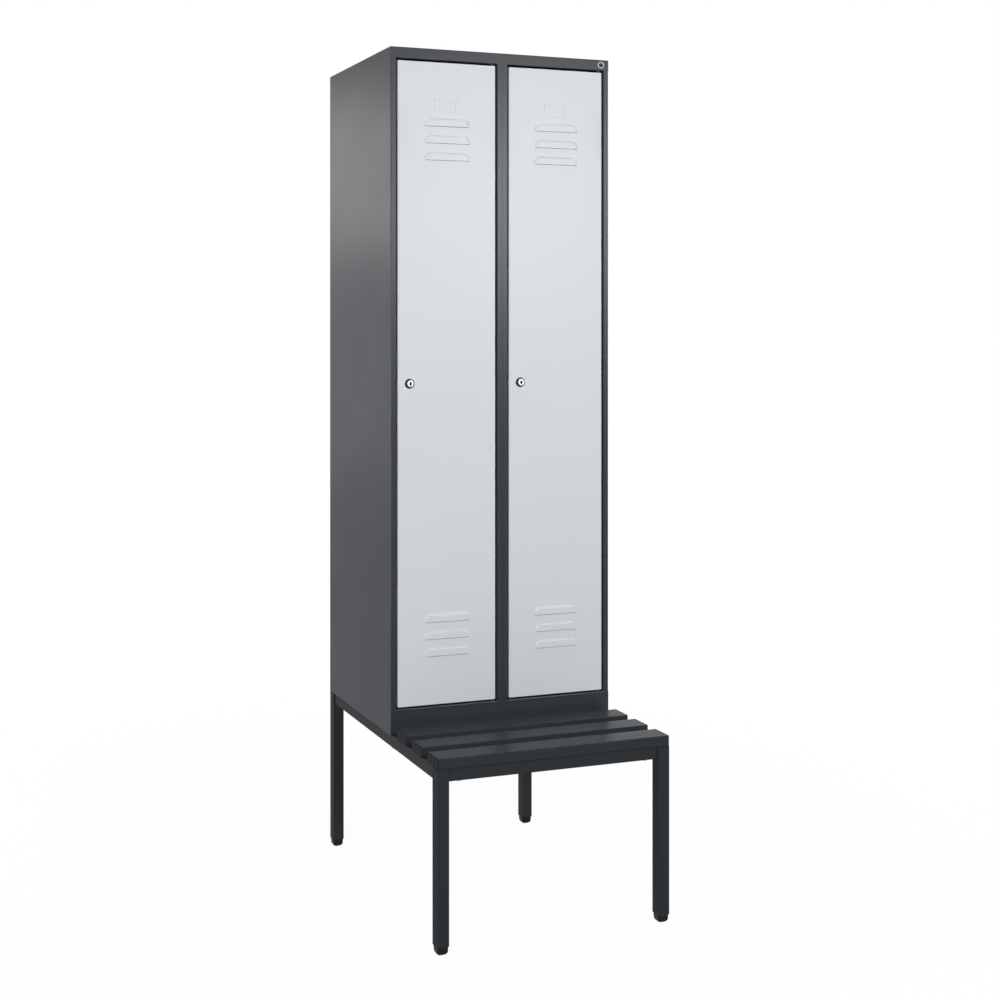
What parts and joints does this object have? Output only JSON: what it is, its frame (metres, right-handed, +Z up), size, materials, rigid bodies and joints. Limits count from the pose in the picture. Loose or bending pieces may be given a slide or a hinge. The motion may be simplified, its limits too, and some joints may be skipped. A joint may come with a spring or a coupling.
{
  "type": "locker with bench",
  "caption": "Tall steel clothes locker with side-by-side hinged doors, vent louvres and cam locks, standing on a tubular frame that reaches forward as a slatted bench.",
  "frame": {"origin": "on the floor, under the middle of the whole piece", "axes": "+X to the right as seen from the front, +Y to the back, +Z up; the doors face -Y"},
  "size_m": [0.6, 0.813, 2.1253],
  "materials": {
    "carcass_steel": "fine satin powder coat, anthracite",
    "door_steel": "satin powder coat, light grey",
    "slat_plastic": "smooth satin, anthracite",
    "black_plastic": "satin black",
    "white_plastic": "natural nylon",
    "rubber": "matt",
    "lock_chrome": "polished",
    "zinc_steel": "bright zinc plate"
  },
  "bodies": {
    "cabinet": {"back_panel": "carcass_steel", "bottom_panel": "carcass_steel", "cabinet_bolt_front_left": "zinc_steel", "cabinet_bolt_front_right": "zinc_steel", "cabinet_bolt_rear_left": "zinc_steel", "cabinet_bolt_rear_right": "zinc_steel", "centre_stile": "carcass_steel", "clothes_rail_left": "zinc_steel", "clothes_rail_right": "zinc_steel", "crossbar_front": "carcass_steel", "crossbar_rear": "carcass_steel", "door_buffer_left": "rubber", "door_buffer_right": "rubber", "glide_front_left": "black_plastic", "glide_front_right": "black_plastic", "glide_rear_left": "black_plastic", "glide_rear_right": "black_plastic", "hat_shelf_left": "carcass_steel", "hat_shelf_right": "carcass_steel", "hinge_bush_left_bottom": "white_plastic", "hinge_bush_left_top": "white_plastic", "hinge_bush_right_bottom": "white_plastic", "hinge_bush_right_top": "white_plastic", "leg_front_left": "carcass_steel", "leg_front_right": "carcass_steel", "leg_rear_left": "carcass_steel", "leg_rear_right": "carcass_steel", "partition": "carcass_steel", "side_panel_left": "carcass_steel", "side_panel_right": "carcass_steel", "side_rail_left": "carcass_steel", "side_rail_right": "carcass_steel", "slat_front": "slat_plastic", "slat_middle": "slat_plastic", "slat_rear": "slat_plastic", "slat_screw_front_left": "zinc_steel", "slat_screw_front_right": "zinc_steel", "slat_screw_middle_left": "zinc_steel", "slat_screw_middle_right": "zinc_steel", "slat_screw_rear_left": "zinc_steel", "slat_screw_rear_right": "zinc_steel", "top_panel": "carcass_steel"},
    "door_left": {"door_left": "door_steel", "hinge_pin_left_top": "zinc_steel", "hinge_pin_left_bottom": "zinc_steel", "lock_body_left": "black_plastic", "lock_nut_left": "zinc_steel"},
    "lock_left": {"lock_plug_left": "lock_chrome", "lock_cam_left": "zinc_steel"},
    "hook_left_1": {"rail_hook_left_1": "zinc_steel"},
    "hook_left_2": {"rail_hook_left_2": "zinc_steel"},
    "door_right": {"door_right": "door_steel", "hinge_pin_right_top": "zinc_steel", "hinge_pin_right_bottom": "zinc_steel", "lock_body_right": "black_plastic", "lock_nut_right": "zinc_steel"},
    "lock_right": {"lock_plug_right": "lock_chrome", "lock_cam_right": "zinc_steel"},
    "hook_right_1": {"rail_hook_right_1": "zinc_steel"},
    "hook_right_2": {"rail_hook_right_2": "zinc_steel"}
  },
  "joints": [
    {"name": "door_left_swing", "type": "hinge", "parent": "cabinet", "child": "door_left", "pos_m": [-0.0275, -0.0855, 0.4923], "axis": [0, 0, 1], "range_deg": [0, 110]},
    {"name": "lock_left_turn", "type": "hinge", "parent": "door_left", "child": "lock_left", "pos_m": [-0.2507, -0.0935, 1.2923], "axis": [0, 1, 0], "range_deg": [0, 90]},
    {"name": "hook_left_1_slide", "type": "slide", "parent": "cabinet", "child": "hook_left_1", "axis": [1, 0, 0], "range_m": [-0.074, 0.045]},
    {"name": "hook_left_2_slide", "type": "slide", "parent": "cabinet", "child": "hook_left_2", "axis": [1, 0, 0], "range_m": [-0.045, 0.074]},
    {"name": "door_right_swing", "type": "hinge", "parent": "cabinet", "child": "door_right", "pos_m": [0.2725, -0.0855, 0.4923], "axis": [0, 0, 1], "range_deg": [0, 110]},
    {"name": "lock_right_turn", "type": "hinge", "parent": "door_right", "child": "lock_right", "pos_m": [0.0493, -0.0935, 1.2923], "axis": [0, 1, 0], "range_deg": [0, 90]},
    {"name": "hook_right_1_slide", "type": "slide", "parent": "cabinet", "child": "hook_right_1", "axis": [1, 0, 0], "range_m": [-0.074, 0.045]},
    {"name": "hook_right_2_slide", "type": "slide", "parent": "cabinet", "child": "hook_right_2", "axis": [1, 0, 0], "range_m": [-0.045, 0.074]}
  ]
}
